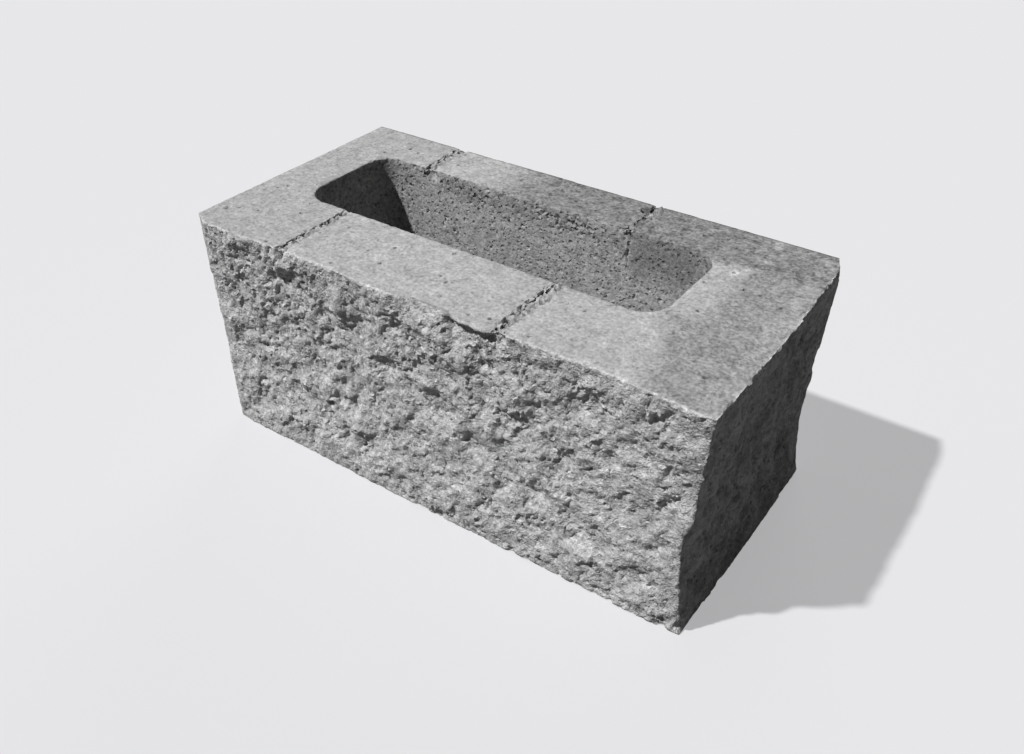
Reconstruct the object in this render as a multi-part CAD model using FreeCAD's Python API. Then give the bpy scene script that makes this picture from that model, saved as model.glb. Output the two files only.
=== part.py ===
import FreeCAD, Part
import math
import os

# Split-face corner block for a dry-stacked retaining wall: one piece of dry-cast concrete.
# Its back and its left end are flat, as they left the mould. Its front and its right end were
# broken off a longer casting, so they are hollowed and broken up into craggy facets. One long
# core, which narrows downwards, runs right through the block. On the top, two shallow marks cross
# the walls where bars held the core in the mould.
# Millimetres. +X runs along the wall to the broken end, +Y to the back, +Z up.
# The origin is the middle of the base.

# Overall size, to the furthest reach of the broken faces
BLOCK_LENGTH = 444.0
BLOCK_DEPTH = 222.0
BLOCK_HEIGHT = 200.0

# Walls beside the core on the moulded sides, measured at the top
END_WALL = 45.5
BACK_WALL = 48.0

# Core, measured at the top
CORE_LENGTH = 318.5
CORE_WIDTH = 96.0
CORE_CORNER_RADIUS = 20.0
CORE_DRAFT_DEG = 0.9

# Marks of the core bars: V grooves across the top of the front and back walls
FIRST_BAR_FROM_END = 95.5
BAR_SPACING = 194.0
BAR_MARK_WIDTH = 9.0
BAR_MARK_DEPTH = 4.0

# Depth of the hollow that the break leaves in each broken face
FRONT_BREAK_DEPTH = 14.5
END_BREAK_DEPTH = 15.0

# Share of that depth by which the face lies inside the overall size.
# Rows go from the base to the top, columns from left to right as one faces that side.
FRONT_BREAK = (
    (0.62, 0.62, 0.64, 0.68, 0.78, 0.86, 1.00),
    (0.64, 0.80, 0.78, 0.74, 0.84, 0.90, 0.98),
    (0.66, 0.88, 0.85, 0.80, 0.92, 0.94, 0.96),
    (0.60, 0.64, 0.66, 0.58, 0.76, 0.82, 0.78),
    (0.35, 0.12, 0.14, 0.02, 0.35, 0.42, 0.52),
)
END_BREAK = (
    (0.54, 0.54, 0.52, 0.54, 0.55),
    (0.97, 0.86, 0.80, 0.90, 1.00),
    (0.80, 0.72, 0.68, 0.86, 0.88),
    (0.36, 0.55, 0.60, 0.72, 0.66),
    (0.06, 0.02, 0.03, 0.16, 0.40),
)

# Crags on the hollow: how far they stand out or sink in, how far apart their tops are, and the
# margin in which they die out towards the edges of the face
CRAG_REACH = 5.5
CRAG_SPACING = 38.0
CRAG_MARGIN = 22.0
# Waves that add up to the crags: the way they run up the face in degrees, their length as a share
# of the spacing, and where they start in degrees
CRAG_WAVES = (
    (25, 1.15, 40),
    (68, 1.30, 190),
    (112, 0.88, 285),
    (135, 1.10, 110),
    (160, 0.95, 20),
)

# Length of casting beyond the broken faces, which the break takes off
WASTE = 20.0
# How far a cutting shape runs past what it cuts
OVERRUN = 3.0

LEFT = -BLOCK_LENGTH / 2
RIGHT = BLOCK_LENGTH / 2
FRONT = -BLOCK_DEPTH / 2
BACK = BLOCK_DEPTH / 2


def casting():
    """The block as it was moulded, with the waste still on its front and its right end."""
    corner = FreeCAD.Vector(LEFT, FRONT - WASTE, 0)
    return Part.makeBox(BLOCK_LENGTH + WASTE, BLOCK_DEPTH + WASTE, BLOCK_HEIGHT, corner)


def hollow(shares, depth, run):
    """The hollow of a break, through its measured depths and laid flat: X along, Y up, Z inwards.

    run is the length of the face. The outer points stand past the face's edges, so that the
    break goes right through the casting.
    """
    rows = len(shares) - 1
    columns = len(shares[0]) - 1
    grid = []
    for row, row_shares in enumerate(shares):
        height = past_edges(BLOCK_HEIGHT * row / rows, BLOCK_HEIGHT)
        line = []
        for column, share in enumerate(row_shares):
            along = past_edges(run * column / columns, run)
            line.append(FreeCAD.Vector(along, height, share * depth))
        grid.append(line)
    surface = Part.BSplineSurface()
    surface.interpolate(grid)
    return surface


def past_edges(place, length):
    """The place itself, or a point past the edge where the place is on an edge."""
    if place <= 0:
        return place - OVERRUN
    if place >= length:
        return place + OVERRUN
    return place


def waves(along, height):
    """The sum of the crags' waves at a place on a face, from -1 to 1."""
    total = 0.0
    for direction, stretch, start in CRAG_WAVES:
        turn = math.radians(direction)
        way = along * math.cos(turn) + height * math.sin(turn)
        total += math.sin(2 * math.pi * way / (stretch * CRAG_SPACING) + math.radians(start))
    return total / len(CRAG_WAVES)


def reach(along, height, length):
    """How far the crags reach at a place on a face of this length; nothing at its edges."""
    to_edge = min(along, length - along, height, BLOCK_HEIGHT - height)
    return CRAG_REACH * min(max(to_edge / CRAG_MARGIN, 0.0), 1.0)


def craggy(along, height, inset, length):
    """A place on the hollow, moved in or out by its crag, and a little sideways and up or down."""
    far = reach(along, height, length)
    strayed_along = along + far * waves(along + length, height)
    strayed_height = height + far * waves(along, height + length)
    return strayed_along, strayed_height, max(inset + far * waves(along, height), 0.0)


def facet_corners(smooth, length, run, point_at):
    """Corners of a break's facets, in rows from its base up: two facets to a crag's spacing.

    point_at(along, height, inset) places a corner on the casting.
    """
    step = CRAG_SPACING / 2
    columns = math.ceil(run / step)
    rows = math.ceil(BLOCK_HEIGHT / step)
    first_u, last_u, first_v, last_v = smooth.bounds()
    grid = []
    for row in range(rows + 1):
        u = first_u + (last_u - first_u) * row / rows
        line = []
        for column in range(columns + 1):
            v = first_v + (last_v - first_v) * column / columns
            along, height, inset = smooth.value(u, v)
            line.append(point_at(*craggy(along, height, inset, length)))
        grid.append(line)
    return grid


def broken_face(corners):
    """The flat facets between rows of corners, with diagonals that take turns."""
    facets = []
    for row, (lower, upper) in enumerate(zip(corners, corners[1:])):
        for column in range(len(lower) - 1):
            near, right = lower[column:column + 2]
            above, across = upper[column:column + 2]
            if (row + column) % 2:
                facets += [facet(near, right, above), facet(right, across, above)]
            else:
                facets += [facet(near, right, across), facet(near, across, above)]
    return Part.Shell(facets)


def facet(*corners):
    """A flat face between three corners."""
    return Part.Face(Part.makePolygon(corners + corners[:1]))


def front_break():
    """Where the casting breaks along its front."""

    def point_at(along, height, inset):
        return FreeCAD.Vector(LEFT + along, FRONT + inset, height)

    run = BLOCK_LENGTH + WASTE
    smooth = hollow(FRONT_BREAK, FRONT_BREAK_DEPTH, run)
    return broken_face(facet_corners(smooth, BLOCK_LENGTH, run, point_at))


def end_break():
    """Where the casting breaks at its right end."""

    def point_at(along, height, inset):
        return FreeCAD.Vector(RIGHT - inset, FRONT + along, height)

    smooth = hollow(END_BREAK, END_BREAK_DEPTH, BLOCK_DEPTH)
    return broken_face(facet_corners(smooth, BLOCK_DEPTH, BLOCK_DEPTH, point_at))


def break_off(block, face):
    """Parts the block along a broken face and keeps the larger piece."""
    pieces, _ = block.generalFuse([face])
    return max(pieces.Solids, key=lambda piece: piece.Volume)


def core_outline(height):
    """The core's rounded outline at a height; below the top it is narrower by the draft."""
    inset = (BLOCK_HEIGHT - height) * math.tan(math.radians(CORE_DRAFT_DEG))
    low_x = LEFT + END_WALL + inset
    high_x = LEFT + END_WALL + CORE_LENGTH - inset
    high_y = BACK - BACK_WALL - inset
    low_y = BACK - BACK_WALL - CORE_WIDTH + inset
    radius = CORE_CORNER_RADIUS
    # Centre of each corner's arc and the quarter it starts at, anticlockwise from the right front
    corners = (
        (high_x - radius, low_y + radius, -90),
        (high_x - radius, high_y - radius, 0),
        (low_x + radius, high_y - radius, 90),
        (low_x + radius, low_y + radius, 180),
    )
    arcs = [corner_arc(x, y, height, start) for x, y, start in corners]
    edges = []
    for arc, following in zip(arcs, arcs[1:] + arcs[:1]):
        edges.append(arc)
        edges.append(Part.makeLine(arc.Vertexes[-1].Point, following.Vertexes[0].Point))
    return Part.Wire(edges)


def corner_arc(x, y, height, start_deg):
    """A quarter circle of the core's corner radius."""
    axis = FreeCAD.Vector(0, 0, 1)
    centre = FreeCAD.Vector(x, y, height)
    return Part.makeCircle(CORE_CORNER_RADIUS, centre, axis, start_deg, start_deg + 90)


def core():
    """The space of the core, from below the base to above the top."""
    outlines = [core_outline(-OVERRUN), core_outline(BLOCK_HEIGHT + OVERRUN)]
    return Part.makeLoft(outlines, True, True)


def bar_mark(x):
    """The V groove that one core bar left across the top."""
    slope = BAR_MARK_WIDTH / 2 / BAR_MARK_DEPTH
    top = BLOCK_HEIGHT + OVERRUN
    half_at_top = slope * (BAR_MARK_DEPTH + OVERRUN)
    start = FRONT - WASTE - OVERRUN
    outline = [
        FreeCAD.Vector(x, start, BLOCK_HEIGHT - BAR_MARK_DEPTH),
        FreeCAD.Vector(x + half_at_top, start, top),
        FreeCAD.Vector(x - half_at_top, start, top),
    ]
    section = Part.Face(Part.makePolygon(outline + outline[:1]))
    return section.extrude(FreeCAD.Vector(0, BACK + OVERRUN - start, 0))


def bar_marks():
    """Both grooves."""
    first = LEFT + FIRST_BAR_FROM_END
    return [bar_mark(first + number * BAR_SPACING) for number in range(2)]


def retaining_wall_block():
    """The finished block: the casting less its core and its bar marks, broken along two sides."""
    block = casting().cut(core())
    for groove in bar_marks():
        block = block.cut(groove)
    block = break_off(block, front_break())
    return break_off(block, end_break())


def main():
    os.makedirs("parts", exist_ok=True)
    block = retaining_wall_block()
    block.exportStep("parts/retaining_wall_block.step")
    box = block.optimalBoundingBox()
    print("valid", block.isValid(), "volume in litres", round(block.Volume / 1e6, 3))
    print("size", round(box.XLength, 1), round(box.YLength, 1), round(box.ZLength, 1))


main()
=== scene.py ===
# %% [markdown]
# # A split-face block for a retaining wall
# The real block is one piece of dry-cast concrete. A long casting left its mould with flat sides,
# and a splitter then broke it, so the front and the right end are bare fracture while the top,
# the back, the left end and the core still show the mould. This lesson dresses the exact solid
# with that difference: first its relief in the mesh, then its colour and grain in one material.

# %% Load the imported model
import math

import bpy
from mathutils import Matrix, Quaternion, Vector


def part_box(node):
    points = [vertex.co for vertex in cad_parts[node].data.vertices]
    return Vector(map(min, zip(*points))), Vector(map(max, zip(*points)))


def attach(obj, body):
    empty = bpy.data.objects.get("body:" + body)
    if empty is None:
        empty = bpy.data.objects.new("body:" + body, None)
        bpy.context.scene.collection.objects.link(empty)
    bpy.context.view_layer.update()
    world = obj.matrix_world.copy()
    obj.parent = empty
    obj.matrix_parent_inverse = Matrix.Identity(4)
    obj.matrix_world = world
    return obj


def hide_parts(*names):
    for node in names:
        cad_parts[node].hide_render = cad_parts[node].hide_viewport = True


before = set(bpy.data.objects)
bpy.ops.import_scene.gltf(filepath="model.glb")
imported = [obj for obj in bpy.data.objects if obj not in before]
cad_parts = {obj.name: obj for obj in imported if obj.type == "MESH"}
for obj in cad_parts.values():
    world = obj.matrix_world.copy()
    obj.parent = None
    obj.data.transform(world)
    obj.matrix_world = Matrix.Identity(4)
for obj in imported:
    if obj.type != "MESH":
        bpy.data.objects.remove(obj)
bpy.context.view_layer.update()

NODE = "retaining_wall_block"
MM = 0.001
low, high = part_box(NODE)
print("solid, in mm:", [round(side / MM, 1) for side in high - low])

# %% [markdown]
# ## Camera
# The photograph was taken from above the block's split corner. Fitting a pinhole camera to the
# straight moulded edges gave the place, the aim and the lens below. The small roll is kept,
# because without it the left edge leans by a few pixels.

# %% Place the camera
CAMERA_AT = Vector((375.6, -516.7, 539.5)) * MM
CAMERA_AIM = Vector((23.2, -28.1, 100.0)) * MM
CAMERA_ROLL_DEG = -0.493
LENS_MM = 34.205
SENSOR_MM = 36.0

bpy.ops.object.select_all(action="DESELECT")
bpy.ops.object.camera_add(location=CAMERA_AT)
camera = bpy.context.object
aim = (CAMERA_AIM - CAMERA_AT).to_track_quat("-Z", "Y")
roll = Quaternion((0, 0, 1), math.radians(CAMERA_ROLL_DEG))
camera.rotation_euler = (aim @ roll).to_euler()
camera.data.lens = LENS_MM
camera.data.sensor_width = SENSOR_MM
bpy.context.scene.camera = camera
print("camera distance, in mm:", round((CAMERA_AIM - CAMERA_AT).length / MM))

# %% [markdown]
# ## Arithmetic on sockets
# Both the relief and the colour are sums and products of noise. Written as nodes by hand they
# would fill pages, so a small class wraps a socket and lets Python's own operators add the nodes.
# Numbers become Math nodes and vectors become Vector Math nodes. The same class serves the
# geometry nodes of the relief and the shader nodes of the concrete.

# %% A socket that can be added and multiplied
class Wire:
    """One output socket of a node tree, in Python's arithmetic."""

    def __init__(self, tree, socket):
        self.tree = tree
        self.socket = socket

    @classmethod
    def node(cls, tree, kind, settings=None, sockets=None, output=0):
        """Adds any node: first its settings, then the values or links of its sockets."""
        made = tree.nodes.new(kind)
        for name, value in (settings or {}).items():
            setattr(made, name, value)
        for name, value in (sockets or {}).items():
            if isinstance(value, cls):
                tree.links.new(value.socket, made.inputs[name])
            else:
                made.inputs[name].default_value = value
        return cls(tree, made.outputs[output])

    def maths(self, operation, first, second=0.0):
        """One Math node, or one Vector Math node where a vector takes part."""
        pair = [first, second]
        vector = any(isinstance(one, Wire) and one.socket.type == "VECTOR" for one in pair)
        kind = "ShaderNodeVectorMath" if vector else "ShaderNodeMath"
        if vector:
            pair = [one if isinstance(one, Wire) else spread(one) for one in pair]
        return Wire.node(self.tree, kind, {"operation": operation}, dict(enumerate(pair)))

    def __add__(self, other):
        return self.maths("ADD", self, other)

    def __radd__(self, other):
        return self.maths("ADD", other, self)

    def __sub__(self, other):
        return self.maths("SUBTRACT", self, other)

    def __rsub__(self, other):
        return self.maths("SUBTRACT", other, self)

    def __mul__(self, other):
        return self.maths("MULTIPLY", self, other)

    def __rmul__(self, other):
        return self.maths("MULTIPLY", other, self)

    def __truediv__(self, other):
        return self.maths("DIVIDE", self, other)

    def __neg__(self):
        return self.maths("MULTIPLY", self, -1.0)

    def __abs__(self):
        return self.maths("ABSOLUTE", self)

    def __gt__(self, other):
        return self.maths("GREATER_THAN", self, other)

    def __lt__(self, other):
        return self.maths("LESS_THAN", self, other)

    def at_most(self, other):
        return self.maths("MINIMUM", self, other)

    def at_least(self, other):
        return self.maths("MAXIMUM", self, other)

    def length(self):
        """How long a vector is."""
        settings = {"operation": "LENGTH"}
        return Wire.node(self.tree, "ShaderNodeVectorMath", settings, {0: self}, "Value")


def spread(number):
    """A number as the three parts of a vector; a vector stays as it is."""
    return (number,) * 3 if isinstance(number, (int, float)) else tuple(number)


# %% Noise, cells and soft steps
def parts(vector):
    """The X, Y and Z of a vector."""
    given = {0: vector}
    names = ("X", "Y", "Z")
    return [Wire.node(vector.tree, "ShaderNodeSeparateXYZ", {}, given, name) for name in names]


def band(value, start, end):
    """0 before start and 1 after end, with a soft step between; start may be the larger."""
    settings = {"interpolation_type": "SMOOTHSTEP"}
    limits = {"Value": value, "From Min": min(start, end), "From Max": max(start, end)}
    step = Wire.node(value.tree, "ShaderNodeMapRange", settings, limits)
    return step if start < end else 1 - step


def between(value, start, end, soft):
    """1 from start to end, and 0 outside, with soft steps."""
    return band(value, start - soft, start + soft) * band(value, end + soft, end - soft)


def noise(place, size, detail=2.0, rough=0.5, shift=0.0):
    """Noise of about -1 to 1 whose largest lumps are about this size, in mm."""
    sockets = {"Vector": (place + shift) / size, "Scale": 1.0, "Detail": detail, "Roughness": rough}
    return Wire.node(place.tree, "ShaderNodeTexNoise", {}, sockets) * 2 - 1


def cells(place, size, shift=0.0):
    """Distance from the middle of the nearest cell, in mm, for cells of about this size."""
    sockets = {"Vector": (place + shift) / size, "Scale": 1.0}
    return Wire.node(place.tree, "ShaderNodeTexVoronoi", {}, sockets, "Distance") * size


def as_vector(colour):
    """A colour as a vector, by a vector sum in which nothing is added."""
    return Wire.node(colour.tree, "ShaderNodeVectorMath", {}, {0: colour})


def lots(place, size, shift=0.0):
    """A number from 0 to 1 drawn for each of the same cells."""
    sockets = {"Vector": (place + shift) / size, "Scale": 1.0}
    colour = Wire.node(place.tree, "ShaderNodeTexVoronoi", {}, sockets, "Color")
    return parts(as_vector(colour))[0]


def drift(place, size, reach):
    """The place, moved about by up to this reach, so that regular shapes drawn there get ragged."""
    sockets = {"Vector": place / size, "Scale": 1.0, "Detail": 1.0}
    colour = Wire.node(place.tree, "ShaderNodeTexNoise", {}, sockets, "Color")
    return place + (as_vector(colour) - 0.5) * (2 * reach)


# %% [markdown]
# ## The mesh to work on
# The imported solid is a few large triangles, and relief needs small even faces. A copy of it is
# merged and then remeshed into voxels of about a millimetre, which also takes the knife edge off
# every arris, as tumbling on a conveyor does to the real block.

# %% Copy, merge and remesh
VOXEL = 1.1 * MM


def apply_modifier(piece, name, kind, **settings):
    """Adds a modifier with these settings and applies it."""
    modifier = piece.modifiers.new(name, kind)
    for setting, value in settings.items():
        setattr(modifier, setting, value)
    bpy.ops.object.modifier_apply(modifier=modifier.name)


bpy.ops.object.select_all(action="DESELECT")
block = bpy.data.objects.new("split_face_block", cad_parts[NODE].data.copy())
bpy.context.scene.collection.objects.link(block)
block.select_set(True)
bpy.context.view_layer.objects.active = block
bpy.ops.object.mode_set(mode="EDIT")
bpy.ops.mesh.select_all(action="SELECT")
bpy.ops.mesh.remove_doubles(threshold=0.001 * MM)
bpy.ops.object.mode_set(mode="OBJECT")
apply_modifier(block, "voxels", "REMESH", mode="VOXEL", voxel_size=VOXEL)
print("working mesh:", len(block.data.vertices), "points")

# %% [markdown]
# ## Where each finish lies
# A point's place and normal say which side of the block it is on. The broken faces are the front
# and the right end. Blurring the normal over the mesh shortens it near every edge, so its length
# is a cheap measure of how close an arris is.

# %% Start the relief group
# How far the core and the nearer half of its walls reach, in mm
CORE_X = (-199, 168)
CORE_Y = (-72, 87)


def new_group(name):
    """An empty geometry node group that takes a mesh in and gives a mesh out."""
    group = bpy.data.node_groups.new(name, "GeometryNodeTree")
    group.interface.new_socket("Geometry", in_out="INPUT", socket_type="NodeSocketGeometry")
    group.interface.new_socket("Geometry", in_out="OUTPUT", socket_type="NodeSocketGeometry")
    return group


def run_group(mesh):
    """Ends a mesh's node group with this mesh, and applies the group to the block."""
    group = mesh.tree
    group.links.new(mesh.socket, group.nodes.new("NodeGroupOutput").inputs[0])
    apply_modifier(block, group.name, "NODES", node_group=group)


def near_core(x, y, soft):
    """1 over the core and the nearer half of its walls, and 0 further out."""
    return between(x, *CORE_X, soft) * between(y, *CORE_Y, soft)


def blurred(value, steps, kind="FLOAT"):
    """A value smoothed over the mesh, each step by about one edge."""
    sockets = {"Value": value, "Iterations": steps}
    return Wire.node(value.tree, "GeometryNodeBlurAttribute", {"data_type": kind}, sockets)


relief = new_group("relief")
mesh_in = Wire.node(relief, "NodeGroupInput")
place = Wire.node(relief, "GeometryNodeInputPosition") / MM
normal = Wire.node(relief, "GeometryNodeInputNormal")
x, y, z = parts(place)
normal_x, normal_y, normal_z = parts(normal)
soft_normal = blurred(normal, 6, "FLOAT_VECTOR")
edge = band(soft_normal.length(), 0.97, 0.74)

front = band(-normal_y, 0.3, 0.7) * band(-y, 70, 80)
end = band(normal_x, 0.3, 0.7) * band(x, 170, 180)
broken = front.at_least(end)
upward = band(normal_z, 0.35, 0.65)
bed = band(-normal_z, 0.5, 0.8)
inside = near_core(x, y, 5)
core = inside * band(abs(normal_z), 0.7, 0.4)

# %% [markdown]
# ## The fracture
# A split runs through the mortar and round the small stones. The solid already has its hollow and
# its main crags. What is finer comes here: low crags between those, rubble and angular grains of a
# few millimetres, ragged voids between the grains, and some larger crevices. Each is its own
# noise, and their sizes were read off the photograph. The break ran steeply upwards to the right,
# so the noise is stretched a little that way. The upper left of the front broke the most open, and
# its lower right the smoothest. The end broke more evenly than the front.

# %% Relief of the broken faces
# Heights and depths of the relief, and how far the whole face is moved out, in mm
CRAG_HEIGHT = 1.8
RUBBLE_HEIGHT = 2.7
VOID_DEPTH = 5.4
CREVICE_DEPTH = 8.5
CREVICE_ROUGHNESS = 7.0
FACE_OUT = 0.9
# Noise above this opens a void or a crevice
VOID_FROM = 0.18
CREVICE_FROM = 0.2
# How far the noise leans sideways with the height and down with the length, and its upward scale
LEAN_SIDEWAYS = 0.18
LEAN_DOWN = 0.16
UPWARD_SCALE = 0.76


def grains(place, size, step, dome, shift=0.0):
    """Angular grains of about this size, some standing higher than others, each slightly domed."""
    height = lots(place, size, shift) - 0.5
    return height * step + (0.4 - cells(place, size, shift) / size) * dome


slant = {"X": x - z * LEAN_SIDEWAYS, "Y": y, "Z": z * UPWARD_SCALE - x * LEAN_DOWN}
slanted = Wire.node(relief, "ShaderNodeCombineXYZ", {}, slant)
crags = noise(slanted, 26.0, 2.0, 0.5, shift=40.0) * CRAG_HEIGHT
rubble = noise(drift(slanted, 9.0, 3.0), 12.0, 2.0, 0.6, shift=17.0) * RUBBLE_HEIGHT
chunks = grains(drift(slanted, 6.0, 2.5), 5.0, 0.9, 0.3)
gravel = grains(drift(slanted, 3.0, 1.2), 2.5, 0.95, 0.4, shift=33.0)
openness = 0.5 * band(z, 50, 150) + 0.5 * band(x, 40, -140)
void_noise = noise(slanted, 4.8, 3.0, 0.66, shift=52.0) + 0.13 * openness
voids = (void_noise - VOID_FROM).at_least(0.0) * -VOID_DEPTH
crevice_noise = noise(slanted, 19.0, 3.0, 0.6, shift=123.0) + 0.08 * openness
crevice_depth = CREVICE_DEPTH - CREVICE_ROUGHNESS * noise(place, 4.0, 2.0, 0.7, shift=9.0)
crevices = (crevice_noise - CREVICE_FROM).at_least(0.0) * -crevice_depth
patchy = 1 + 0.35 * noise(place, 38.0, 1.0, shift=91.0)
coarse = FACE_OUT + crags + (rubble + crevices * (1 - edge)) * patchy
fine = (chunks + gravel + voids * (1 - 0.6 * edge)) * patchy

# %% [markdown]
# ## The moulded faces
# Dry concrete is vibrated against the mould, and its sand and trapped air print a fine open grain.
# The walls of the core are the most pitted, because the core is pulled out while the mix is stiff.

# %% Relief of the moulded faces
# Heights and depths of the relief, in mm; the sand stands out more in the core
SAND_HEIGHT = 0.35
MORE_SAND_IN_CORE = 0.4
WAVE_HEIGHT = 0.35
HUNGRY_DEPTH = 1.5


def pits(place, size, radius, depth, shift=0.0):
    """Small holes, about one to a cell of this size."""
    return band(cells(place, size, shift), radius, radius * 0.3) * -depth


sand = noise(place, 3.4, 2.0, 0.6, shift=5.0) * (SAND_HEIGHT + MORE_SAND_IN_CORE * core)
wave = noise(place, 40.0, 1.0, shift=25.0) * WAVE_HEIGHT
strayed = drift(place, 3.0, 1.4)
air_holes = pits(strayed, 9.0, 2.0, 1.4, shift=8.0)
hungry_spots = band(noise(place, 8.0, 3.0, 0.65, shift=44.0), 0.2, 0.5) * -HUNGRY_DEPTH
top_holes = pits(strayed, 14.0, 1.9, 1.2, shift=71.0)
moulded = sand + wave + air_holes * (1 - upward) + hungry_spots * core + top_holes * upward

# %% [markdown]
# ## The marks of the core bars
# Two bars held the core in the mould and were drawn out of the fresh top. In the solid each is a
# clean V. The real ones healed over unevenly, so each of the four gets its own ragged strip and a
# crack that opens into pits: the V is filled straight upwards first, and the strip is then cut
# along a line that wanders.

# %% Relief of the bar marks
BAR_PLACES = (-126.5, 67.5)
GROOVE_HALF = 4.5
GROOVE_DEPTH = 4.0
MIDDLE_OF_CORE = 15.0
# How far the strip wanders along its length, and how far its sides are ragged, in mm
STRIP_WANDER = 3.4
RAGGED_BY = 3.2
# For each bar, front wall first: half width and depth of the strip, then half width and depth of
# its crack and how far that lies to either side of the middle
BAR_MARKS = (
    ((4.5, 0.3, 1.6, 2.6, 0.5), (5.5, 0.6, 1.6, 2.4, 1.5)),
    ((6.0, 0.4, 2.0, 3.2, 1.5), (4.5, 0.4, 1.2, 2.0, 0.0)),
)

near_top = band(z, 188, 196)
back_half = band(y, MIDDLE_OF_CORE - 5, MIDDLE_OF_CORE + 5)
crumbs = grains(strayed, 3.2, 2.4, 1.0, shift=21.0)
ragged = noise(place, 6.0, 3.0, 0.65, shift=36.0) * RAGGED_BY
broken_up = band(noise(place, 5.5, 2.0, 0.6, shift=83.0), 0.0, 0.2)
open_pits = band(cells(strayed, 5.5, shift=57.0), 2.8, 1.4)
along_strip = place * (0.15, 1.0, 0.15)
lift = 0.0
marks = 0.0
for bar, walls in zip(BAR_PLACES, BAR_MARKS):
    lift = (1 - abs(x - bar) / GROOVE_HALF).at_least(0.0) * GROOVE_DEPTH + lift
    wandering = noise(along_strip, 13.0, 2.0, 0.6, shift=bar) * STRIP_WANDER
    astray = abs(x - bar - wandering - ragged)
    for half, wall in zip((1 - back_half, back_half), walls):
        strip_half, strip_depth, crack_half, crack_depth, crack_aside = wall
        strip = band(astray, strip_half + 1.0, strip_half - 2.0)
        crack = band(abs(astray - crack_aside), crack_half + 1.0, crack_half - 1.0) * broken_up
        opened = (crack + open_pits * band(astray, strip_half, strip_half - 2.0)).at_most(1.0)
        marks = half * (strip * (crumbs - strip_depth) - opened * crack_depth) + marks
marks = marks * near_top
lift = lift * near_top

# %% [markdown]
# ## Chips, holes and the crack
# Every arris has lost crumbs, and a few spots have lost more. Most of these are soft dents, such
# as the hole at the back end of the right bar mark, from which a crack runs down the core's rear
# wall. Beside that mark the front is undercut, so that it lies in its own shadow. The foot of the
# front is ragged along its right half. Two top corners, the corner at the foot and a stretch of
# the front edge are cut off along a plane.

# %% Dents and the undercut
# Each dent: its centre, its radius and its depth, in mm
DENTS = (
    # Rear arris of the broken end, from the top down; the second from below is a swelling
    ((215.0, 112.0, 189.0), 11.0, 1.6),
    ((210.0, 112.0, 112.0), 13.0, 1.4),
    ((211.0, 112.0, 92.0), 12.0, -1.2),
    ((209.0, 112.0, 58.0), 17.0, 0.9),
    # Ends of the left bar mark, at the front and at the core
    ((-125.0, -112.0, 201.0), 10.0, 3.5),
    ((-124.0, 63.0, 195.0), 8.0, 2.6),
    # Hole at the back end of the right bar mark
    ((62.5, 98.5, 200.0), 6.0, 9.0),
    ((68.0, 103.5, 200.0), 6.0, 9.0),
    # Lost stones of the top
    ((-210.0, -83.0, 200.0), 4.0, 2.2),
    ((199.0, 70.0, 200.0), 4.0, 2.4),
)
uneven = drift(place, 6.0, 1.8)
uneven_x, _, uneven_z = parts(uneven)


def dent(centre, radius, depth):
    """A rough hollow round a point, or a swelling where the depth is negative; all in mm."""
    return band((uneven - centre).length(), radius, radius * 0.25) * -depth


def undercut(start, end, top, depth):
    """A hollow in the front from start to end, deepest under its top and running out below it."""
    below = band(uneven_z, top + 1.5, top - 2.5) * band(uneven_z, top - 40, top - 4)
    return broken * between(uneven_x, start, end, 4) * band(y, -60, -70) * below * -depth


damage = 0.0
for centre, radius, depth in DENTS:
    damage = dent(centre, radius, depth) + damage
damage = damage + undercut(start=24, end=66, top=196, depth=4.4)

# %% Chips, the foot, the lip and the crack
# Depths in mm; chips are deeper on the broken faces and round the core
CHIP_DEPTH = 0.7
MORE_ON_BROKEN = 0.9
MORE_ROUND_CORE = 0.8
FOOT_DEPTH = 2.8
LIP_DEPTH = 1.6
CRACK_DEPTH = 2.0
CRACK_AT_X = 67.0
CRACK_WANDER = 4.0

chip_noise = noise(place, 7.0, 2.0, 0.65, shift=63.0)
chip_depth = CHIP_DEPTH + MORE_ON_BROKEN * broken + MORE_ROUND_CORE * inside
chips = edge * band(chip_noise, 0.0, 0.5) * -chip_depth

foot_noise = noise(place, 10.0, 3.0, 0.65, shift=77.0)
foot = band(-y, 89, 96) * band(x, -60, -20) * band(z, 13, 5)
ragged_foot = foot * band(foot_noise, -0.1, 0.4) * -FOOT_DEPTH

rear_wall = core * band(y, 40, 55)
core_lip = rear_wall * between(x, -116, 60, 8) * between(z, 182, 195, 4)
lip_noise = noise(place, 3.4, 3.0, 0.65, shift=29.0) + 0.3 * noise(place, 30.0, 1.0, shift=66.0)
crumbled_lip = core_lip * band(lip_noise, 0.0, 0.35) * -LIP_DEPTH

wandering = noise(place, 9.0, 2.0, 0.65, shift=3.0) * CRACK_WANDER
crack_line = abs(x - CRACK_AT_X - wandering)
crack = rear_wall * band(crack_line, 1.4, 0.4) * band(z, 160, 178) * -CRACK_DEPTH

# %% Corners and edges that are cut off
# For each plane, a point on it and the way it faces out of the block
FRONT_LEFT_CORNER = ((-206.0, -111.0, 200.0), (-9.0, -16.0, 0.0))
REAR_RIGHT_CORNER = ((219.7, 85.7, 200.0), (0.93, 0.36, 0.2))
FRONT_EDGE = ((10.0, -103.5, 200.0), (0.0, -10.0, 1.6))
FOOT_CORNER = ((207.0, -97.0, 8.0), (8.0, -4.0, -2.0))


def cut_off(point, out):
    """Moves what lies beyond a plane back onto it; the plane faces this way out of the block."""
    out = Vector(out).normalized()
    beyond_x, beyond_y, beyond_z = parts(place - point)
    beyond = (beyond_x * out.x + beyond_y * out.y + beyond_z * out.z).at_least(0.0)
    back = {"X": beyond * -out.x, "Y": beyond * -out.y, "Z": beyond * -out.z}
    return Wire.node(relief, "ShaderNodeCombineXYZ", {}, back)


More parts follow.
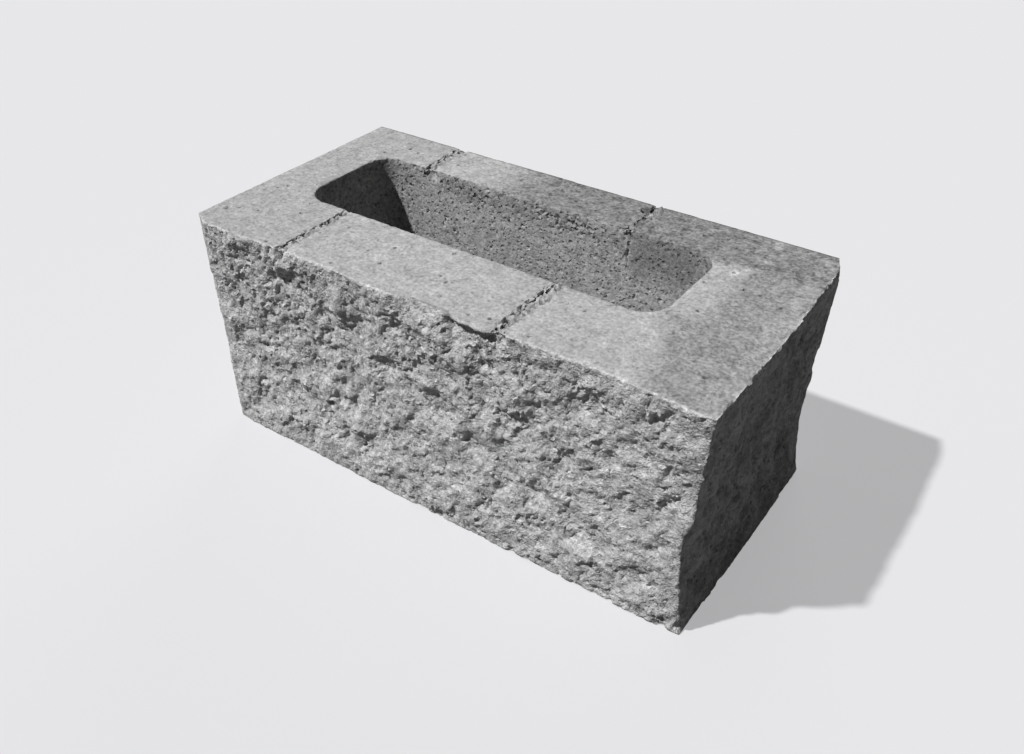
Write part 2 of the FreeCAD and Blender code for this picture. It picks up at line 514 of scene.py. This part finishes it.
cut_corners = cut_off(*FRONT_LEFT_CORNER) + cut_off(*REAR_RIGHT_CORNER)
cut_corners = cut_corners + cut_off(*FRONT_EDGE) * between(x, -14, 34, 9)
cut_corners = cut_corners + cut_off(*FOOT_CORNER) * between(z, 3, 12, 2)

# %% [markdown]
# ## Moving the points
# All the relief is one depth, measured outwards along the blurred normal. It fades towards the
# arrises that the photograph shows clean and straight. The underside only moves inwards, so the
# block still stands flat. What the colour needs to know later is stored with the mesh: the side a
# point belongs to, how broken it is, how deep it lies in a hollow, and how worn it is.

# %% Add the depths up
# What a clean arris loses of the coarse relief, the fine relief and the chips
COARSE_LOST = 0.8
FINE_LOST = 0.4
CHIPS_LOST = 0.7
# What any arris loses of the fracture
EDGE_LOST = 0.45

clean_left = front * band(x, -208, -221)
clean_rear = end * band(y, 88, 104)
clean_foot = band(z, 16, 3) * (0.45 + 0.55 * end)
clean_top = front * band(z, 186, 198)
clean_arris = band(x, 190, 208) * band(-y, 82, 96)
clean = clean_left.at_least(clean_rear).at_least(clean_foot)
clean = clean.at_least(0.6 * clean_top).at_least(0.65 * clean_arris)
fracture = coarse * (1 - COARSE_LOST * clean) + fine * (1 - FINE_LOST * clean)
depth = broken * fracture * (1 - EDGE_LOST * edge) + (1 - broken) * moulded
depth = depth + marks + damage + chips * (1 - CHIPS_LOST * clean)
depth = depth + ragged_foot + crumbled_lip + crack
depth = depth * (1 - bed) + bed * depth.at_most(0.0)

# %% Move the points and store what the colour needs
# A hollow is measured against the depths this many edges around, and is full at this depth in mm
HOLLOW_STEPS = 14
FULL_HOLLOW = 2.0


def keep(mesh, name, value, kind="FLOAT"):
    """Stores a value with every point of the mesh."""
    settings = {"data_type": kind, "domain": "POINT"}
    sockets = {"Geometry": mesh, "Name": name, "Value": value}
    return Wire.node(mesh.tree, "GeometryNodeStoreNamedAttribute", settings, sockets)


def kept(tree, name, kind="FLOAT"):
    """Reads a stored value back."""
    return Wire.node(tree, "GeometryNodeInputNamedAttribute", {"data_type": kind}, {"Name": name})


mesh = keep(mesh_in, "side", soft_normal, "FLOAT_VECTOR")
mesh = keep(mesh, "broken", broken)
rubbed = front.at_least(upward * band(-y, 90, 100))
mesh = keep(mesh, "worn", edge * rubbed * band(chip_noise, -0.2, 0.3))
mesh = keep(mesh, "depth", depth)
depth = kept(relief, "depth")
below = (blurred(depth, HOLLOW_STEPS) - depth) / FULL_HOLLOW
mesh = keep(mesh, "hollow", below.at_least(0.0).at_most(1.0))
upwards = Wire.node(relief, "ShaderNodeCombineXYZ", {}, {"Z": lift})
offset = (kept(relief, "side", "FLOAT_VECTOR") * depth + upwards + cut_corners) * MM
mesh = Wire.node(relief, "GeometryNodeSetPosition", {}, {"Geometry": mesh, "Offset": offset})
mesh = Wire.node(relief, "GeometryNodeRemoveAttribute", {}, {"Geometry": mesh, "Name": "depth"})
run_group(mesh)
print("relief done:", [round(side / MM, 1) for side in block.dimensions])

# %% [markdown]
# ## Thinning
# The flat sides need far fewer faces than the fracture. Decimation takes them away where they
# change the shape least, and leaves the count that one piece may have. Shading is then smooth
# across the low edges. It stays sharp across more of them on the moulded faces, where small pits
# would blur, than on the fracture, where each triangle would look like a splinter.

# %% Thin the mesh
MOST_TRIANGLES = 190_000
triangles = 2 * len(block.data.polygons)
apply_modifier(block, "thin", "DECIMATE", ratio=MOST_TRIANGLES / triangles)
bpy.ops.object.shade_smooth()
print("thinned mesh:", len(block.data.polygons), "faces")
carried_names = [one.name for one in block.data.attributes if not one.name.startswith(".")]
print("kept with it:", carried_names)

# %% Keep the sharp edges sharp
MOULDED_SHARP_DEG = 32.0
BROKEN_SHARP_DEG = 50.0
shading = new_group("shading")
mesh_in = Wire.node(shading, "NodeGroupInput")
angle = Wire.node(shading, "GeometryNodeInputMeshEdgeAngle") / math.radians(1)
limit = MOULDED_SHARP_DEG + (BROKEN_SHARP_DEG - MOULDED_SHARP_DEG) * kept(shading, "broken")
sockets = {"Geometry": mesh_in, "Shade Smooth": angle < limit}
shaded = Wire.node(shading, "GeometryNodeSetShadeSmooth", {"domain": "EDGE"}, sockets)
run_group(shaded)
print("sharp edges:", sum(edge.use_edge_sharp for edge in block.data.edges))

# %% [markdown]
# ## A map for the baked picture
# The colour is drawn from the place in space and needs no map. A copy of the part whose colour is
# baked into a picture does need one, and an automatic map would tear a fracture into thousands of
# scraps. So every face is projected straight onto the side it belongs to, and the ten sides are
# laid out next to each other on one square sheet.

# %% Lay the sides out on one sheet
SHEET = 912.0
layout = new_group("layout")
mesh_in = Wire.node(layout, "NodeGroupInput")
place = Wire.node(layout, "GeometryNodeInputPosition") / MM
x, y, z = parts(place)


def of_face(value, kind):
    """A point's value, averaged over each face."""
    settings = {"data_type": kind, "domain": "FACE"}
    return Wire.node(value.tree, "GeometryNodeFieldOnDomain", settings, {0: value})


side_x, side_y, side_z = parts(of_face(kept(layout, "side", "FLOAT_VECTOR"), "FLOAT_VECTOR"))
face_x, face_y, _ = parts(of_face(place, "FLOAT_VECTOR"))
level_face = abs(side_z) > abs(side_x).at_least(abs(side_y))
lengthwise = (1 - level_face) * (abs(side_y) > abs(side_x))
crosswise = (1 - level_face) * (1 - lengthwise)
in_core = near_core(face_x, face_y, 0.5) > 0.5
outside = 1 - in_core
from_left = x + 222
from_front = y + 111
core_from_left = x + 180
core_from_front = y + 36

# Each side: which faces it takes, what runs along the sheet, what runs up it, and its corner there
SIDES = (
    (lengthwise * outside * (side_y < 0.0), from_left, z, 3, 3),
    (lengthwise * outside * (side_y > 0.0), from_left, z, 3, 211),
    (level_face * (side_z > 0.0), from_left, from_front, 3, 419),
    (level_face * (side_z < 0.0), from_left, from_front, 3, 649),
    (crosswise * outside * (side_x > 0.0), from_front, z, 455, 3),
    (crosswise * outside * (side_x < 0.0), from_front, z, 683, 3),
    (lengthwise * in_core * (side_y < 0.0), z, core_from_left, 455, 211),
    (lengthwise * in_core * (side_y > 0.0), z, core_from_left, 663, 211),
    (crosswise * in_core * (side_x < 0.0), z, core_from_front, 455, 545),
    (crosswise * in_core * (side_x > 0.0), z, core_from_front, 663, 545),
)
across = 0.0
up = 0.0
for takes, along_sheet, up_sheet, corner_across, corner_up in SIDES:
    across = takes * (along_sheet + corner_across) + across
    up = takes * (up_sheet + corner_up) + up
on_sheet = Wire.node(layout, "ShaderNodeCombineXYZ", {}, {"X": across / SHEET, "Y": up / SHEET})
settings = {"data_type": "FLOAT2", "domain": "CORNER"}
sockets = {"Geometry": mesh_in, "Name": "OFBake", "Value": on_sheet}
mapped = Wire.node(layout, "GeometryNodeStoreNamedAttribute", settings, sockets)
run_group(mapped)
print("maps:", [one.name for one in block.data.uv_layers])

# %% [markdown]
# ## Concrete
# One cement-grey mix has several looks. Fracture shows sand and small stones of many greys, with a
# few white ones, and dark specks of painted shade between the grains. Moulded faces are even, with
# fine speckle, air holes and weather stains: the back of the top and its right end are darker, with
# a pale dried rim between. Hollows, holes and pits are painted darker, which is painted shade, and
# so are the top, the rear arris, the left end of the core and the band under its rear lip. Worn
# arrises are pale. Each look is a factor on one grey.

# %% Read what the mesh carries
concrete = bpy.data.materials.new("dry_cast_concrete")
concrete.use_nodes = True
tree = concrete.node_tree
shader = tree.nodes["Principled BSDF"]


def carried(name, output="Fac"):
    """A value that was stored with the mesh."""
    return Wire.node(tree, "ShaderNodeAttribute", {"attribute_name": name}, {}, output)


place = Wire.node(tree, "ShaderNodeTexCoord", {}, {}, "Object") / MM
x, y, z = parts(place)
side_x, _, side_z = parts(carried("side", "Vector"))
broken = carried("broken")
hollow = carried("hollow")
worn = carried("worn")
upward = band(side_z, 0.35, 0.65)
core = near_core(x, y, 5) * (1 - upward)

# %% Where the stains and the painted shade of the moulded faces lie
wander = noise(place, 30.0, 3.0, 0.6, shift=12.0)
mottle = noise(place, 14.0, 3.0, 0.65, shift=55.0)
left_part = upward * band(x, -110, -150)
rear_strip = upward * band(y + 12 * wander + 8 * mottle, 52, 64) * band(x + 30 * wander, -85, -20)
from_bend = y - 82
bent = (from_bend * from_bend / 80).at_most(28.0) - 22 * band(y, -30, -70)
dried_edge = x - 173 + bent + 9 * noise(place, 30.0, 4.0, 0.6, shift=8.0)
pale_patch = between(x + 8 * mottle, 136, 167, 7) * between(y + 10 * wander, -24, 58, 8)
right_part = upward * band(dried_edge, -9, 10) * (1 - 0.8 * pale_patch)
weathered = rear_strip.at_least(right_part)
dried_rim = upward * band(abs(dried_edge), 7.0, 1.5) * between(y, 34, 120, 6)
dried_rim = dried_rim * band(mottle + 0.5 * wander, -0.35, 0.1)
pale_end = upward * band(x + 5 * mottle, 198, 213)
# Painted shade: a thin dark line along the rear arris of the top, which faces away from the light
painted_rear_arris_shade = band(y, 107, 110) * band(side_z, 0.2, 0.5) * band(mottle, -0.6, -0.2)
# Painted shadow: the left end of the core is darker still, where the key light's shadow falls
painted_core_end_shadow = core * band(x, -125, -150)
damp_wall = core * between(x, 69, 150, 2) * band(y, 30, 50) * band(z + 12 * wander, 154, 176)
# Painted shade: a darker band under the top of the core's rear wall, where its lip overhangs
painted_lip_shade = core * band(y, 40, 55) * between(x, -110, 62, 10)
painted_lip_shade = painted_lip_shade * between(z + 7 * mottle, 180, 195, 4)

# %% Add the stains and the painted shade up
# Where each stain or painted shade lies, and the share of the grey that it takes; a pale one gives
# instead
STAINS_AND_SHADE = (
    # Painted shade: the top is darker than the other moulded faces, set against the stronger light
    # that falls on it
    (upward, 0.09),
    (left_part, 0.0714),
    (weathered, 0.31),
    (rear_strip, 0.2),
    (dried_rim, -0.42),
    (pale_end, -0.13),
    (core, 0.11),
    (painted_core_end_shadow, 0.146),
    (damp_wall, 0.36),
    (painted_rear_arris_shade, 0.5),
    (painted_lip_shade, 0.2),
)
stains_and_shade = 1 + 0.12 * wander + 0.3 * mottle
for lies, share in STAINS_AND_SHADE:
    stains_and_shade = stains_and_shade * (1 - share * lies)

# %% Grain of the moulded faces
speckle = noise(place, 2.5, 2.0, 0.65, shift=2.0)
sandy = noise(place, 5.0, 2.0, 0.6, shift=18.0)
pinholes = band(cells(drift(place, 3.0, 1.2), 6.5, shift=6.0), 1.1, 0.4)
core_pits = core * band(cells(drift(place, 3.0, 1.4), 4.4, shift=41.0), 1.6, 0.6)
top_hole_shade = upward * band(cells(drift(place, 3.0, 1.4), 14.0, shift=71.0), 2.0, 0.9)
open_grain = 0.62 + 0.28 * weathered + 0.15 * rear_strip + 0.1 * core
open_sand = 0.4 + 0.2 * weathered + 0.4 * rear_strip
moulded_tone = stains_and_shade * (1 + open_grain * speckle + open_sand * sandy)
# Pinholes, the pits of the core and the holes of the top are painted darker: painted shade inside
# them
moulded_tone = moulded_tone * (1 - (0.24 + 0.2 * core) * pinholes)
moulded_tone = moulded_tone * (1 - 0.55 * top_hole_shade) * (1 - 0.34 * core_pits)

# %% Grain of the broken faces
# How much paler the fresh break is than the moulded faces
FRESH_BREAK = 1.335
sand_place = drift(place, 3.0, 0.9)


def stones(size, rare, radius, full, shift):
    """Single stones, in the few cells that draw a number above rare; full is their inner radius."""
    chosen = lots(sand_place, size, shift) > rare
    return chosen * band(cells(sand_place, size, shift), radius, full)


sand_grain = lots(sand_place, 2.4, shift=4.0) - 0.5
sand_tone = 1 + 0.36 * sand_grain + 0.22 * speckle
end = band(side_x, 0.5, 0.8)
stone_tone = 1 + 0.22 * (lots(drift(place, 6.0, 2.0), 9.0, shift=19.0) - 0.5)
stone_tone = stone_tone + (0.12 + 0.7 * end) * wander + 0.7 * end * mottle
white_stone = stones(5.0, 0.93, 2.0, 1.2, shift=14.0)
dark_stone = stones(4.0, 0.88, 1.8, 1.0, shift=24.0)
# Painted shade: dark specks for the shade between the sand grains
grain_gap_shade = band(noise(place, 2.8, 2.0, 0.6, shift=47.0), 0.1, 0.42)
broken_tone = FRESH_BREAK * sand_tone * stone_tone * (1 + 0.55 * white_stone)
broken_tone = broken_tone * (1 - 0.35 * dark_stone) * (1 - 0.34 * grain_gap_shade)

# %% Put the tones together
CEMENT_GREY = 0.50
PALEST_GREY = 0.85
# One pale stone in the hole of the right bar mark
PALE_STONE_AT = (67.5, 94.0, 199.0)
tone = broken * broken_tone + (1 - broken) * moulded_tone
# Hollows are painted darker, and more so on the end: painted shade in the recesses
tone = tone * (1 - (0.5 + 0.4 * end) * hollow)
tone = tone * (1 + 0.6 * worn * band(speckle, -0.1, 0.4))
pale_stone = band((place - PALE_STONE_AT).length(), 3.2, 1.8)
grey = (tone * CEMENT_GREY * (1 + 0.9 * pale_stone)).at_most(PALEST_GREY)
tree.links.new(grey.socket, shader.inputs["Base Color"])
roughness = 0.97 - 0.12 * white_stone * broken
tree.links.new(roughness.socket, shader.inputs["Roughness"])
shader.inputs["Specular IOR Level"].default_value = 0.2

# %% Grain too fine for the mesh
# Heights in mm
fine_grit = noise(place, 1.9, 2.0, 0.65, shift=31.0)
broken_grit = fine_grit * 0.72 + sand_grain * 0.4
moulded_grit = fine_grit * 0.3 + sandy * (0.2 + 0.2 * core) + sand_grain * core * 0.5
moulded_grit = moulded_grit - pinholes * (0.3 + 0.3 * core) - core_pits * 0.6
grit = broken * broken_grit + (1 - broken) * moulded_grit
bump = Wire.node(tree, "ShaderNodeBump", {}, {"Height": grit, "Distance": MM, "Strength": 1.0})
tree.links.new(bump.socket, shader.inputs["Normal"])
block.data.materials.clear()
block.data.materials.append(concrete)
print("concrete:", len(tree.nodes), "nodes")

# %% [markdown]
# ## Floor and light
# The block stands on a plain pale floor. The floor's colour as the camera sees it is the
# photograph's background. Half of that is its own glow, which pales the shadow, because the
# photograph shows none. The light that the floor throws back onto the block is kept low, because
# the shaded end is dark in the photograph. One hard key light comes from the upper left, as the
# sun did; the shadow of the core's left wall gave its direction. A weak light from behind keeps
# the back readable in other views and doesn't reach the sides that the camera sees. The sky looks
# as pale as the floor, and lights the block as little.

# %% Make the floor
FLOOR_COLOUR = (0.388, 0.388, 0.395, 1.0)
FLOOR_GLOW = (0.395, 0.395, 0.403, 1.0)
FLOOR_BOUNCE = (0.10, 0.10, 0.10, 1.0)
NO_GLOW = (0.0, 0.0, 0.0, 1.0)
bpy.ops.object.select_all(action="DESELECT")
bpy.ops.mesh.primitive_plane_add(size=12.0)
floor = bpy.context.object
floor.name = "floor"
floor_material = bpy.data.materials.new("pale_floor")
floor_material.use_nodes = True
floor_tree = floor_material.node_tree
floor_shader = floor_tree.nodes["Principled BSDF"]


def looked_at(tree):
    """1 for a ray of the camera, a reflection or glass, and 0 for a ray that gathers soft light."""
    rays = ("Is Camera Ray", "Is Glossy Ray", "Is Transmission Ray")
    by_camera, by_gloss, by_glass = [
        Wire.node(tree, "ShaderNodeLightPath", {}, {}, ray) for ray in rays
    ]
    return (by_camera + by_gloss + by_glass).at_most(1.0)


def seen_or_not(shown, hidden, socket_name):
    """Gives a socket of the floor one colour where it is looked at and another for its light."""
    # A Mix node has its two colours in inputs 6 and 7, and the mixed one in output 2
    sockets = {"Factor": looked_at(floor_tree), 6: hidden, 7: shown}
    colour = Wire.node(floor_tree, "ShaderNodeMix", {"data_type": "RGBA"}, sockets, 2)
    floor_tree.links.new(colour.socket, floor_shader.inputs[socket_name])


seen_or_not(FLOOR_COLOUR, FLOOR_BOUNCE, "Base Color")
seen_or_not(FLOOR_GLOW, NO_GLOW, "Emission Color")
floor_shader.inputs["Emission Strength"].default_value = 1.0
floor_shader.inputs["Roughness"].default_value = 1.0
floor_shader.inputs["Specular IOR Level"].default_value = 0.0
floor.data.materials.append(floor_material)

# %% Set the lights
KEY_TRAVEL = Vector((0.44, 0.55, -1.0))
KEY_STRENGTH = math.pi * 1.13
KEY_ANGLE_DEG = 2.0
BACK_TRAVEL = Vector((0.3, -1.0, -0.3))
BACK_STRENGTH = math.pi * 0.28
BACK_ANGLE_DEG = 40.0
# Strength of the sky as a light, and as it looks
SKY_STRENGTH = 0.040
SKY_SEEN = 0.79


def add_sun(travel, strength, angle_deg):
    """A distant light that travels this way."""
    bpy.ops.object.light_add(type="SUN")
    sun = bpy.context.object
    sun.rotation_euler = travel.to_track_quat("-Z", "Y").to_euler()
    sun.data.energy = strength
    sun.data.angle = math.radians(angle_deg)


add_sun(KEY_TRAVEL, KEY_STRENGTH, KEY_ANGLE_DEG)
add_sun(BACK_TRAVEL, BACK_STRENGTH, BACK_ANGLE_DEG)
world = bpy.data.worlds.new("studio")
bpy.context.scene.world = world
world.use_nodes = True
sky_tree = world.node_tree
background = sky_tree.nodes["Background"]
background.inputs["Color"].default_value = (1, 1, 1, 1)
sky = SKY_STRENGTH + (SKY_SEEN - SKY_STRENGTH) * looked_at(sky_tree)
sky_tree.links.new(sky.socket, background.inputs["Strength"])
bpy.context.scene.view_settings.view_transform = "Standard"

# %% Hand the piece over
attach(block, "root")
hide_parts(NODE)
